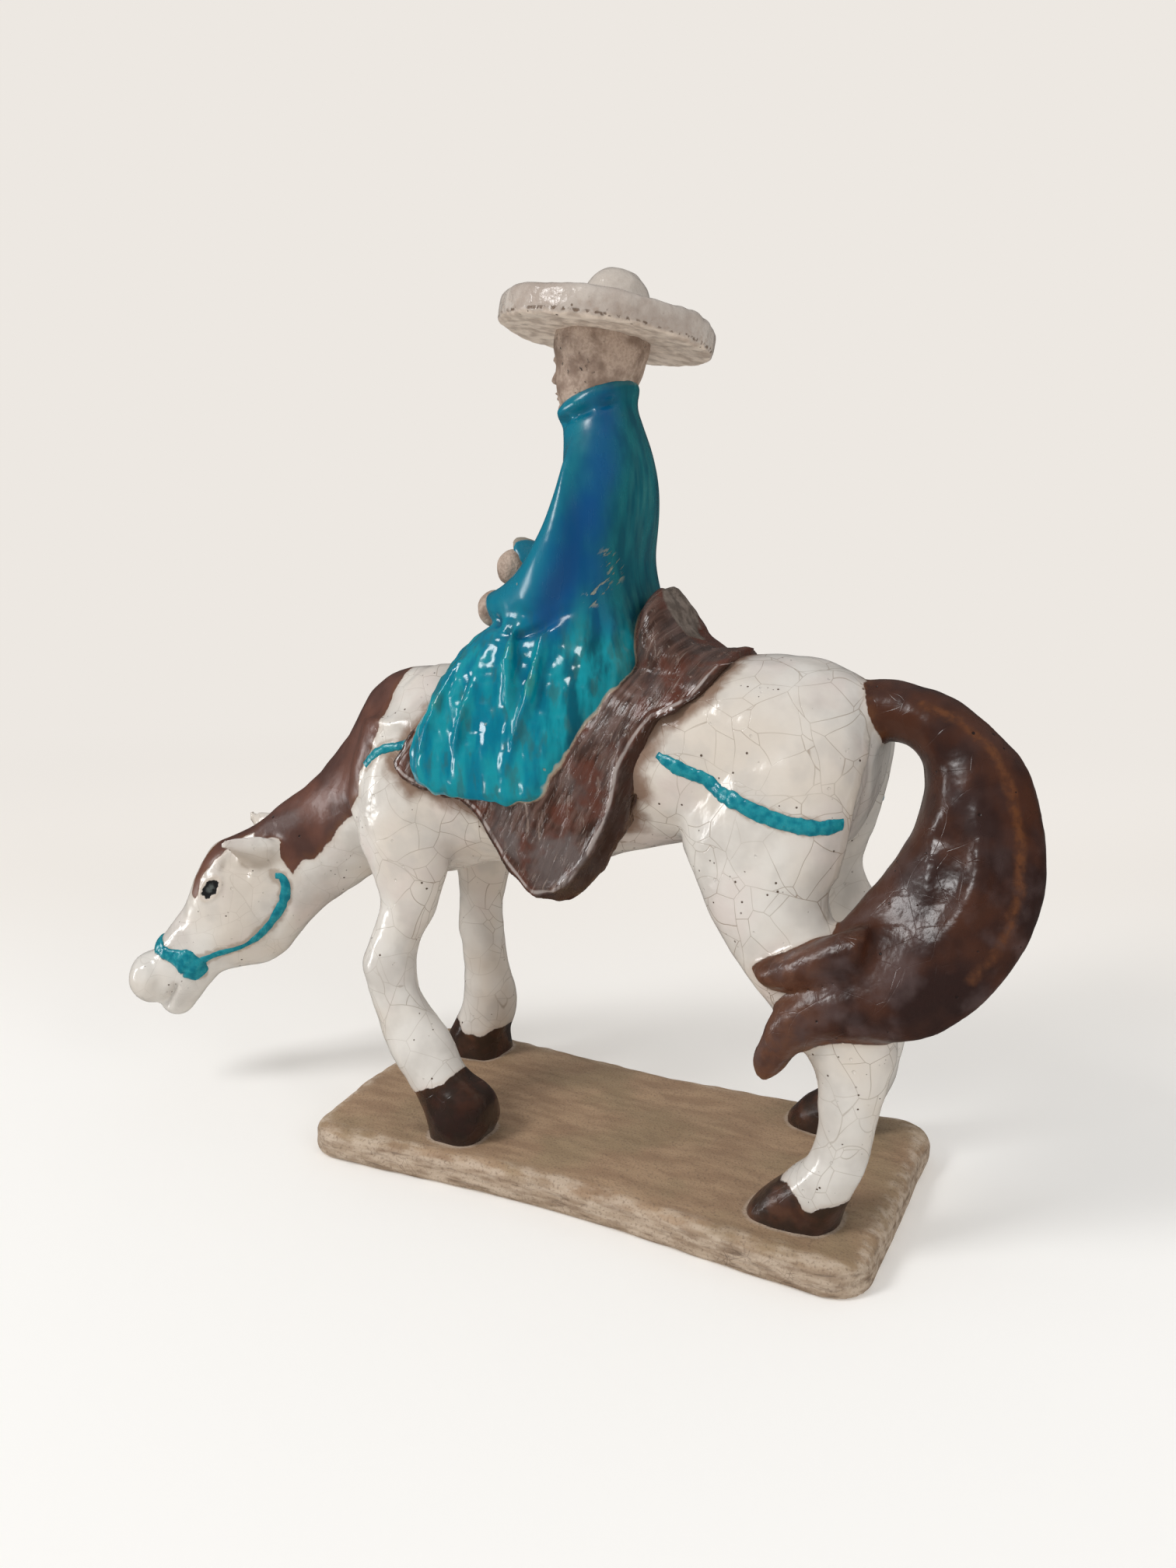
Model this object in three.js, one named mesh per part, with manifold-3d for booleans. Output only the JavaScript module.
// Glazed earthenware horse with a rider in a wide hat, fired as one piece with its slab.
// The horse stands facing -X with its head lowered and turned to its own left, toward -Y.
// Sizes are in mm. The origin is the centre of the slab's underside, and +Z is up.

import * as THREE from 'three';
import { mergeVertices } from 'three/addons/utils/BufferGeometryUtils.js';
import Module from 'manifold-3d';

const wasm = await Module();
wasm.setup();

// Slab
const slabLength = 280;
const slabWidth = 138;
const slabThickness = 14;
const slabCornerRadius = 17;
const slabWaist = 7; // how far each long side bows in at its middle
const slabTopRound = 5; // rounding of the upper edge
const slabCut = 12; // how far the near left corner is drawn in

// Figure. The tables further down give its shape in shares of its height: they are drawn for
// a figure 383 units high above the slab's top, and are then scaled to this height.
const figureHeight = 383;
const headTurn = 0.55; // sideways slope of the neck and head, as dy/dx
const turnStart = 149; // distance ahead of the slab's centre where the neck begins to turn
const turnEase = 10; // length over which the turn sets in
const legRoot = 3; // how deep the hooves are bedded in the slab

// Hat
const hatRadius = 46.5;
const hatTilt = [0.173, 0.086, 0.981]; // direction of the crown
const hatRim = 9.8; // thickness of the brim
const crownRadius = 17;
const crownHeight = 29.5; // above the brim's underside

// Saddle cloth
const clothHalfWidth = 46;
const flapThickness = 9;

const nearest = 0.01; // points of the joined solids closer than this become one

const scale = figureHeight / 383;

// A length in mm, in the units that the tables are drawn in.
function drawn(mm) {
  return mm / scale;
}

// A rib is one cross-section: its two ends in the figure's side view and its half-width.
// rib(x1, z1, x2, z2, y, w, n): n is the section's squareness, 2 for an ellipse.
function rib(x1, z1, x2, z2, y, w, n = 2) {
  return {
    a: new THREE.Vector3(x1, y, z1),
    b: new THREE.Vector3(x2, y, z2),
    side: new THREE.Vector3(0, w, 0),
    n,
  };
}

// The middle surface of the neck and head leaves y = 0 and swings toward -Y.
function turned(x) {
  const d = (-drawn(turnStart) - x) / drawn(turnEase);
  return -headTurn * drawn(turnEase) * Math.log(1 + Math.exp(d));
}

function turnedSlope(x) {
  const d = (-drawn(turnStart) - x) / drawn(turnEase);
  return headTurn / (1 + Math.exp(-d));
}

function turnedRib(x1, z1, x2, z2, w, n = 2) {
  const slope = turnedSlope((x1 + x2) / 2);
  const norm = Math.hypot(1, slope);
  return {
    a: new THREE.Vector3(x1, turned(x1), z1),
    b: new THREE.Vector3(x2, turned(x2), z2),
    side: new THREE.Vector3((-slope / norm) * w, w / norm, 0),
    n,
  };
}

// Rounded or squared ring point at angle t, on a unit superellipse of squareness n.
function ringPoint(t, n) {
  const c = Math.cos(t);
  const s = Math.sin(t);
  return [
    Math.sign(c) * Math.abs(c) ** (2 / n),
    Math.sign(s) * Math.abs(s) ** (2 / n),
  ];
}

// Closed surface from a stack of rings with equal point counts, capped at both ends.
function closedStack(rings) {
  const sides = rings[0].length;
  const points = rings.flat();
  const faces = [];
  for (let i = 0; i < rings.length - 1; i += 1) {
    for (let j = 0; j < sides; j += 1) {
      const k = (j + 1) % sides;
      const p = i * sides;
      const q = p + sides;
      faces.push(p + j, q + j, q + k, p + j, q + k, p + k);
    }
  }
  for (const [ring, start, flip] of [
    [rings[0], 0, true],
    [rings[rings.length - 1], (rings.length - 1) * sides, false],
  ]) {
    const centre = new THREE.Vector3();
    for (const p of ring) centre.add(p);
    centre.divideScalar(sides);
    const c = points.push(centre) - 1;
    for (let j = 0; j < sides; j += 1) {
      const k = (j + 1) % sides;
      if (flip) faces.push(c, start + j, start + k);
      else faces.push(c, start + k, start + j);
    }
  }
  let volume = 0;
  for (let i = 0; i < faces.length; i += 3) {
    const [a, b, c] = [points[faces[i]], points[faces[i + 1]], points[faces[i + 2]]];
    volume += a.dot(b.clone().cross(c));
  }
  if (volume < 0) faces.reverse();
  const geometry = new THREE.BufferGeometry();
  geometry.setAttribute(
    'position',
    new THREE.Float32BufferAttribute(points.flatMap((p) => [p.x, p.y, p.z]), 3),
  );
  geometry.setIndex(faces);
  return geometry;
}

// Smooth skin drawn through a list of ribs.
function skin(ribs, steps, sides) {
  const upper = new THREE.CatmullRomCurve3(ribs.map((r) => r.a));
  const lower = new THREE.CatmullRomCurve3(ribs.map((r) => r.b));
  const flank = new THREE.CatmullRomCurve3(ribs.map((r) => r.side));
  const rings = [];
  for (let i = 0; i <= steps; i += 1) {
    const t = i / steps;
    const a = upper.getPoint(t);
    const b = lower.getPoint(t);
    const side = flank.getPoint(t);
    const at = t * (ribs.length - 1);
    const low = Math.min(Math.floor(at), ribs.length - 2);
    const n = THREE.MathUtils.lerp(ribs[low].n, ribs[low + 1].n, at - low);
    const centre = a.clone().add(b).multiplyScalar(0.5);
    const half = a.clone().sub(b).multiplyScalar(0.5);
    const ring = [];
    for (let j = 0; j < sides; j += 1) {
      const [p, q] = ringPoint(((j + 0.5) / sides) * 2 * Math.PI, n);
      ring.push(centre.clone().addScaledVector(half, p).addScaledVector(side, q));
    }
    rings.push(ring);
  }
  return closedStack(rings);
}

function ball(x, y, z, rx, ry, rz, turn = 0, around = 12, down = 8) {
  const geometry = new THREE.SphereGeometry(1, around, down);
  geometry.scale(rx, ry, rz);
  geometry.rotateZ(turn);
  geometry.translate(x, y, z);
  return geometry;
}

function solid(geometry) {
  const bare = geometry.clone();
  bare.deleteAttribute('normal');
  bare.deleteAttribute('uv');
  const merged = mergeVertices(bare, 1e-4);
  return new wasm.Manifold(
    new wasm.Mesh({
      numProp: 3,
      vertProperties: new Float32Array(merged.attributes.position.array),
      triVerts: new Uint32Array(merged.index.array),
      tolerance: nearest,
    }),
  );
}

function joined(geometries) {
  return geometries.map(solid).reduce((sum, next) => sum.add(next));
}

// Trunk, from the chest at the left to the rump.
const trunk = skin([
  rib(-129, 168, -128, 140, 0, 14),
  rib(-122, 188, -118, 122, 0, 30),
  rib(-106, 206, -104, 113, 0, 38),
  rib(-86, 215, -88, 113, 0, 40),
  rib(-60, 213, -62, 121, 0, 41),
  rib(-20, 215, -22, 127, 0, 42),
  rib(15, 217, 12, 137, 0, 41),
  rib(45, 222, 40, 142, 0, 39),
  rib(75, 225, 68, 150, 0, 40),
  rib(98, 222.5, 96, 148, 0, 37),
  rib(114, 217, 111, 150, 0, 29),
  rib(123, 204, 120, 165, 0, 14),
], 16, 18);

// Neck and head in one sweep, from inside the shoulders to the lips.
const neckAndHead = skin([
  turnedRib(-92, 214, -92, 130, 30),
  turnedRib(-106, 212.5, -108, 120, 30),
  turnedRib(-119, 207, -121, 114, 27),
  turnedRib(-132, 192, -134, 106, 24),
  turnedRib(-145, 175, -147, 97, 21),
  turnedRib(-158, 160, -159, 88, 18.5),
  turnedRib(-172, 146, -168, 78, 17),
  turnedRib(-187, 133.5, -178, 64, 16.5),
  turnedRib(-200, 125.5, -188, 57, 17.5),
  turnedRib(-209, 120, -199, 54.5, 18.5),
  turnedRib(-214.5, 111, -208, 52, 17.5),
  turnedRib(-219, 101, -214, 47, 15.5),
  turnedRib(-223.5, 89, -219, 40, 13.5),
  turnedRib(-229, 80, -224.5, 34, 12.5),
  turnedRib(-236, 71, -230, 31, 12),
  turnedRib(-242, 62, -236, 38, 9),
], 24, 14);

const headAngle = Math.atan(headTurn);
const upperLip = ball(-240.5, turned(-240.5), 49.5, 11.5, 12.5, 13.5, headAngle, 10, 7);
const lowerLip = ball(-230.5, turned(-230.5), 37, 8, 9, 8, headAngle, 8, 6);

// One ear: a short leaf that leaves the poll sideways and points forward. side is -1 or 1.
function ear(side) {
  const across = new THREE.Vector3(-Math.sin(headAngle), Math.cos(headAngle), 0);
  const along = new THREE.Vector3(-Math.cos(headAngle), -Math.sin(headAngle), 0);
  const poll = new THREE.Vector3(-200, turned(-200), 0);
  const at = (forward, out, z, long, thick) => {
    const c = poll.clone().addScaledVector(along, forward).addScaledVector(across, side * out);
    c.z = z;
    const half = along.clone().multiplyScalar(long);
    return {
      a: c.clone().add(half),
      b: c.clone().sub(half),
      side: new THREE.Vector3(0, 0, thick),
      n: 2,
    };
  };
  return skin([
    at(-17, 7, 112, 8, 8),
    at(-16, 14, 118, 9.5, 6),
    at(-12, 19, 122.5, 8.5, 4.5),
    at(-5, 21.5, 125, 3, 2.2),
  ], 6, 8);
}

// Legs. The first two ribs of each lie inside the trunk.
const nearFore = skin([
  rib(-120, 190, -70, 194, -18, 17),
  rib(-124, 165, -65, 165, -24, 17),
  rib(-119, 136, -66, 140, -28, 15),
  rib(-108, 118, -71, 119, -30, 13),
  rib(-104, 102, -76, 102, -32, 11.5),
  rib(-109, 88, -85, 87, -34, 11),
  rib(-112, 77, -86, 75, -36, 11.5),
  rib(-109, 66, -84, 66, -37, 10.5),
  rib(-104, 51, -77, 57, -38, 10),
  rib(-98, 38, -66, 46, -39, 11),
  rib(-91, 28, -61, 38, -40, 12),
  rib(-84, 20, -56, 29, -40, 12.5, 2.3),
  rib(-77, 13, -44, 21, -39.5, 14, 2.6),
  rib(-71, 4, -41, 8, -39, 15.5, 2.8),
  rib(-69, -drawn(legRoot), -45, -drawn(legRoot), -39, 15.5, 2.8),
], 18, 10);

const farFore = skin([
  rib(-116, 185, -72, 190, 18, 17),
  rib(-118, 160, -66, 160, 24, 17),
  rib(-110, 130, -68, 130, 28, 14),
  rib(-101, 105, -73, 104, 31, 11.5),
  rib(-102, 85, -78.5, 84, 34, 10.5),
  rib(-102, 68, -80, 67, 36, 10.5),
  rib(-103.5, 52, -79, 51, 39, 10.5),
  rib(-105.5, 36, -76, 37, 41, 12),
  rib(-109, 24, -78, 26, 43, 12.5, 2.3),
  rib(-114, 13, -83, 13, 44, 14, 2.6),
  rib(-119, 4, -84, 4, 45, 15, 2.8),
  rib(-120, -drawn(legRoot), -84, -drawn(legRoot), 45, 15, 2.8),
], 13, 10);

// Both hind legs share one drawing. The far one stands a little further forward.
function hindLeg(side, forward, spread) {
  const at = (x1, z1, x2, z2, y, w, n) => {
    const drop = THREE.MathUtils.clamp((150 - z1) / 110, 0, 1);
    const shift = forward * drop;
    return rib(x1 - shift, z1, x2 - shift, z2, side * (y + spread * drop), w, n);
  };
  return skin([
    at(64, 198, 116, 202, 14, 20),
    at(52, 172, 121, 190, 20, 23),
    at(47, 150, 119, 172, 24, 21),
    at(54, 135, 115, 152, 27, 19),
    at(64, 118, 110, 132, 30, 17),
    at(75, 104, 120, 112, 33, 15),
    at(88, 90, 138, 95, 36, 13),
    at(101, 78, 141, 78, 38, 11.5),
    at(110, 66, 139, 65, 39, 10),
    at(113, 52, 136, 52, 40, 9.5),
    at(112, 40, 134.5, 40, 40, 9.5),
    at(108, 28, 132, 28, 40, 11),
    at(99, 17, 128, 18, 39, 12, 2.3),
    at(90, 9, 125, 10, 38, 14, 2.5),
    at(84, 1, 122, 1, 38, 14.5, 2.6),
    at(84, -drawn(legRoot), 121, -drawn(legRoot), 38, 14.5, 2.6),
  ], 19, 10);
}

// Tail: a thick hank that arches back and swings to the near leg, ending in two locks.
const tail = skin([
  rib(110, 217, 110, 192, 0, 13),
  rib(128, 217, 126, 192, 0, 14),
  rib(146, 212, 136, 189, -1, 15),
  rib(163, 201, 140, 179, -3, 16),
  rib(176, 187, 139, 167, -6, 17),
  rib(185, 166, 134, 154, -10, 17),
  rib(188, 143, 129, 143, -15, 17),
  rib(186, 126, 123, 133, -21, 17),
  rib(179, 112, 117, 125, -28, 16),
  rib(168, 98, 112, 117, -35, 15),
  rib(155, 89, 108, 109, -40, 13),
  rib(140, 86, 105, 101, -44, 10),
  rib(126, 84, 103, 94, -47, 7),
], 20, 12);

const upperLock = skin([
  rib(130, 128, 128, 106, -40, 12),
  rib(114, 122, 112, 103, -46, 9),
  rib(101, 115, 101, 101, -48, 8),
  rib(91, 110, 93, 100, -48, 6),
  rib(86.5, 106, 88.5, 102, -48, 2.5),
], 7, 8);

const lowerLock = skin([
  rib(122, 108, 126, 83, -44, 11),
  rib(107, 101, 113, 80, -47, 9.5),
  rib(96, 91, 105, 74, -49, 8.5),
  rib(92, 80, 101, 68, -49, 7),
  rib(88.5, 70, 97, 63, -49, 5),
  rib(88.5, 63, 93, 60, -49, 2),
], 8, 8);

// Strands that part the tail before it ends in its locks.
function tailStrand(side, drop) {
  const y = (base, wide) => base + side * wide;
  return ridge([
    [163 - drop, y(-8, 14), 176 - drop],
    [166 - drop * 1.2, y(-15, 15), 146 - drop * 0.6],
    [153 - drop, y(-26, 14), 122 - drop * 0.5],
    [131 - drop * 0.6, y(-36, 12), 110 - drop * 0.5],
  ], 5, 4.5);
}

// Saddle cloth: its side outline is cut from a wide form that follows the trunk.
const clothOutline = new THREE.Shape();
clothOutline.moveTo(-89, 176);
clothOutline.bezierCurveTo(-80, 164, -60, 168, -44, 160);
clothOutline.bezierCurveTo(-34, 154, -36, 116, -13, 117);
clothOutline.bezierCurveTo(6, 118, 21, 142, 24, 156);
clothOutline.bezierCurveTo(36, 166, 30, 190, 46, 205);
clothOutline.bezierCurveTo(56, 208, 61, 216, 61, 232);
clothOutline.lineTo(-50, 232);
clothOutline.bezierCurveTo(-60, 212, -76, 190, -89, 176);

const clothForm = skin([
  rib(-96, 216, -94, 120, 0, 42, 2.4),
  rib(-60, 219, -62, 112, 0, 45, 2.8),
  rib(-20, 221, -22, 108, 0, drawn(clothHalfWidth), 3),
  rib(15, 222, 12, 108, 0, drawn(clothHalfWidth - 1), 3),
  rib(42, 226, 38, 120, 0, 43, 2.5),
  rib(74, 228, 68, 132, 0, 42.5, 2.2),
], 8, 20);

const clothHollow = skin([
  rib(-70, 165, -70, 90, 0, drawn(clothHalfWidth - flapThickness), 3),
  rib(60, 165, 60, 90, 0, drawn(clothHalfWidth - flapThickness), 3),
], 1, 12);

function saddleCloth() {
  const sheet = new THREE.ExtrudeGeometry(clothOutline, {
    depth: 120,
    curveSegments: 5,
    bevelEnabled: false,
  });
  sheet.rotateX(Math.PI / 2);
  sheet.translate(0, 60, 0);
  return solid(sheet).intersect(solid(clothForm)).subtract(solid(clothHollow));
}

const cantle = skin([
  rib(20, 240, 20, 205, 0, 16),
  rib(25, 250, 25, 205, 0, 23),
  rib(30, 252.5, 31, 206, 0, 27),
  rib(36, 247, 38, 208, 0, 28),
  rib(43, 236, 46, 210, 0, 26),
  rib(55, 228, 58, 212, 0, 21),
  rib(67, 225, 67, 216, 0, 12),
], 9, 12);

// Rider: a long robe that spreads over both flanks, two wide sleeves and bare hands.
const robe = skin([
  rib(-21, 325, 11, 335, 0, 14),
  rib(-21.5, 316, 13.5, 326, 0, 17),
  rib(-20, 302, 18, 309, 0, 27),
  rib(-19, 290, 19.5, 296, 0, 31),
  rib(-23, 275, 18.5, 281, 0, 33),
  rib(-30, 258, 19, 263, 0, 34, 2.2),
  rib(-43, 241, 27, 245, 0, 37, 3),
  rib(-62, 227, 33, 229, 0, 40, 3.2),
  rib(-71, 212, 32, 214, 0, 43, 3.6),
  rib(-77, 196, 25, 196, 0, 46, 4),
  rib(-81, 181, 9, 179, 0, 49, 4.4),
  rib(-79, 168, -2, 166, 0, 49.5, 4.4),
  rib(-69, 161.5, -16, 160, 0, 47, 3.6),
], 17, 22);

// A rounded ridge along a path of [x, y, z], tapering to both ends.
function ridge(path, across, proud, steps = 5, sides = 6) {
  const curve = new THREE.CatmullRomCurve3(path.map((p) => new THREE.Vector3(...p)));
  const rings = [];
  for (let i = 0; i <= steps; i += 1) {
    const t = i / steps;
    const size = 0.25 + 0.75 * Math.sin(Math.PI * Math.min(1, t * 1.25 + 0.05)) ** 0.7;
    const centre = curve.getPoint(t);
    const along = curve.getTangent(t);
    const out = new THREE.Vector3(0, Math.sign(centre.y) || -1, 0);
    const wide = new THREE.Vector3().crossVectors(along, out).normalize();
    const ring = [];
    for (let j = 0; j < sides; j += 1) {
      const a = (j / sides) * 2 * Math.PI;
      ring.push(
        centre.clone()
          .addScaledVector(wide, Math.cos(a) * across * size)
          .addScaledVector(out, Math.sin(a) * proud * size),
      );
    }
    rings.push(ring);
  }
  return closedStack(rings);
}

// Folds of the robe over each thigh, from the lap down to the hem.
function robeFolds(side) {
  return [0, 1, 2].map((i) => {
    const top = -46 + i * 16;
    const foot = -67 + i * 21;
    const inset = i === 0 ? 4.5 : 0.5;
    return ridge([
      [top, side * (34 - inset * 0.6), 230 - i * 2],
      [(top + foot) / 2 - 3.2, side * (43.5 - inset), 205],
      [foot, side * (48.5 - inset), 180],
      [foot + 1, side * (48.5 - inset), 166 - i],
    ], 4.5, 3.6);
  });
}

const collar = skin([
  rib(-24, 321, 14, 331, 0, 16.5),
  rib(-25, 325, 14.5, 335.5, 0, 17.5),
  rib(-23, 329, 12, 338.5, 0, 15.5),
], 3, 14);

function sleeve(side, lift) {
  const at = (x, y, z, long, wide) => {
    const up = (lift * Math.max(0, -x)) / 45;
    return rib(x - long * 0.5, z + up + long, x + long * 0.5, z + up - long, side * y, wide);
  };
  return skin([
    at(-3, 16, 304, 9, 11),
    at(-2, 28, 290, 11, 11),
    at(-1, 33, 270, 14, 11.5),
    at(-12, 34, 256, 15, 12),
    at(-26, 30, 250, 13.5, 12),
    at(-38, 23, 246.5, 11.5, 11),
    at(-48, 16, 243.5, 10, 9.5),
    at(-50.5, 14.5, 243.2, 7.5, 7),
  ], 9, 10);
}

const nearHand = ball(-51, -12, 242, 8.5, 7.5, 8.5, 0, 8, 6);
const farHand = ball(-51.5, 11, 259, 8.5, 7.5, 8.5, 0, 8, 6);
const head = ball(-6, 0, 339, 20, 17, 25, 0, 12, 10);
const nose = ball(-25, 0, 334, 3.6, 3, 5.5, 0, 8, 6);

// Hat: a thick flat brim with a low round crown, turned on its own axis and tilted.
function hat() {
  const profile = [
    [0, 1],
    [hatRadius - 14, 0.6],
    [hatRadius - 4, 0],
    [hatRadius - 1, 1.6],
    [hatRadius, hatRim * 0.48],
    [hatRadius - 0.8, hatRim * 0.8],
    [hatRadius - 3.5, hatRim],
    [hatRadius - 12, hatRim - 0.6],
    [crownRadius + 6, hatRim - 1],
    [crownRadius + 1, hatRim + 0.6],
    [crownRadius - 0.6, hatRim + 4],
    [crownRadius * 0.84, crownHeight * 0.64],
    [crownRadius * 0.62, crownHeight * 0.81],
    [crownRadius * 0.34, crownHeight * 0.94],
    [0, crownHeight],
  ].map(([r, h]) => new THREE.Vector2(drawn(r), drawn(h)));
  const geometry = new THREE.LatheGeometry(profile, 24);
  const up = new THREE.Vector3(0, 1, 0);
  const crown = new THREE.Vector3(...hatTilt).normalize();
  geometry.applyQuaternion(new THREE.Quaternion().setFromUnitVectors(up, crown));
  geometry.translate(-2.2, 0, 355.3);
  return geometry;
}

// Slab outline, inset by d: rounded corners and long sides that bow in.
function slabRing(d, z, corner = 5, along = 8, across = 3) {
  const r = slabCornerRadius;
  const hx = slabLength / 2 - r;
  const hy = slabWidth / 2 - r;
  const flat = [];
  for (const [cx, cy, start] of [[hx, -hy, -0.5], [hx, hy, 0], [-hx, hy, 0.5], [-hx, -hy, 1]]) {
    for (let i = 0; i <= corner; i += 1) {
      const t = (start + (0.5 * i) / corner) * Math.PI;
      flat.push([cx + (r - d) * Math.cos(t), cy + (r - d) * Math.sin(t)]);
    }
    const [ex, ey] = flat[flat.length - 1];
    const long = Math.abs(ey) > hy;
    const count = long ? along : across;
    for (let i = 1; i < count; i += 1) {
      const f = i / count;
      if (long) flat.push([ex * (1 - 2 * f), ey]);
      else flat.push([ex, ey * (1 - 2 * f)]);
    }
  }
  return flat.map(([x, y]) => {
    const bow = slabWaist * Math.cos((x / slabLength) * Math.PI) ** 2;
    const left = THREE.MathUtils.smoothstep(-x, 0, slabLength / 2);
    const cut = slabCut * left * (0.5 - y / slabWidth);
    return new THREE.Vector3(x + cut, y - Math.sign(y) * bow * Math.min(1, Math.abs(y) / hy), z);
  });
}

const slab = closedStack([
  slabRing(1, 0),
  slabRing(0, 1.5),
  slabRing(0, slabThickness - slabTopRound),
  slabRing(slabTopRound * 0.3, slabThickness - slabTopRound * 0.35),
  slabRing(slabTopRound, slabThickness),
]);

// Everything above the slab, joined, then scaled and set on the slab's top.
const figure = joined([
  trunk,
  neckAndHead,
  upperLip,
  lowerLip,
  ear(-1),
  ear(1),
  nearFore,
  farFore,
  hindLeg(-1, 0, 0),
  hindLeg(1, 8, 9),
  tail,
  upperLock,
  lowerLock,
  tailStrand(-1, 0),
  tailStrand(-1, 15),
  tailStrand(1, 7),
  cantle,
  robe,
  ...robeFolds(-1),
  ...robeFolds(1),
  collar,
  sleeve(-1, 0),
  sleeve(1, 15),
  nearHand,
  farHand,
  head,
  nose,
  hat(),
]).add(saddleCloth());

const whole = figure
  .scale([scale, scale, scale])
  .translate([0, 0, slabThickness])
  .add(solid(slab));

const mesh = whole.getMesh();
const geometry = new THREE.BufferGeometry();
geometry.setAttribute('position', new THREE.BufferAttribute(mesh.vertProperties, 3));
geometry.setIndex(new THREE.BufferAttribute(mesh.triVerts, 1));

const glaze = new THREE.MeshStandardMaterial({ color: 0xd9d2c6, roughness: 0.22, metalness: 0 });
const horseAndRider = new THREE.Mesh(geometry, glaze);
horseAndRider.name = 'horse_and_rider';

const model = new THREE.Group();
model.add(horseAndRider);

export default model;
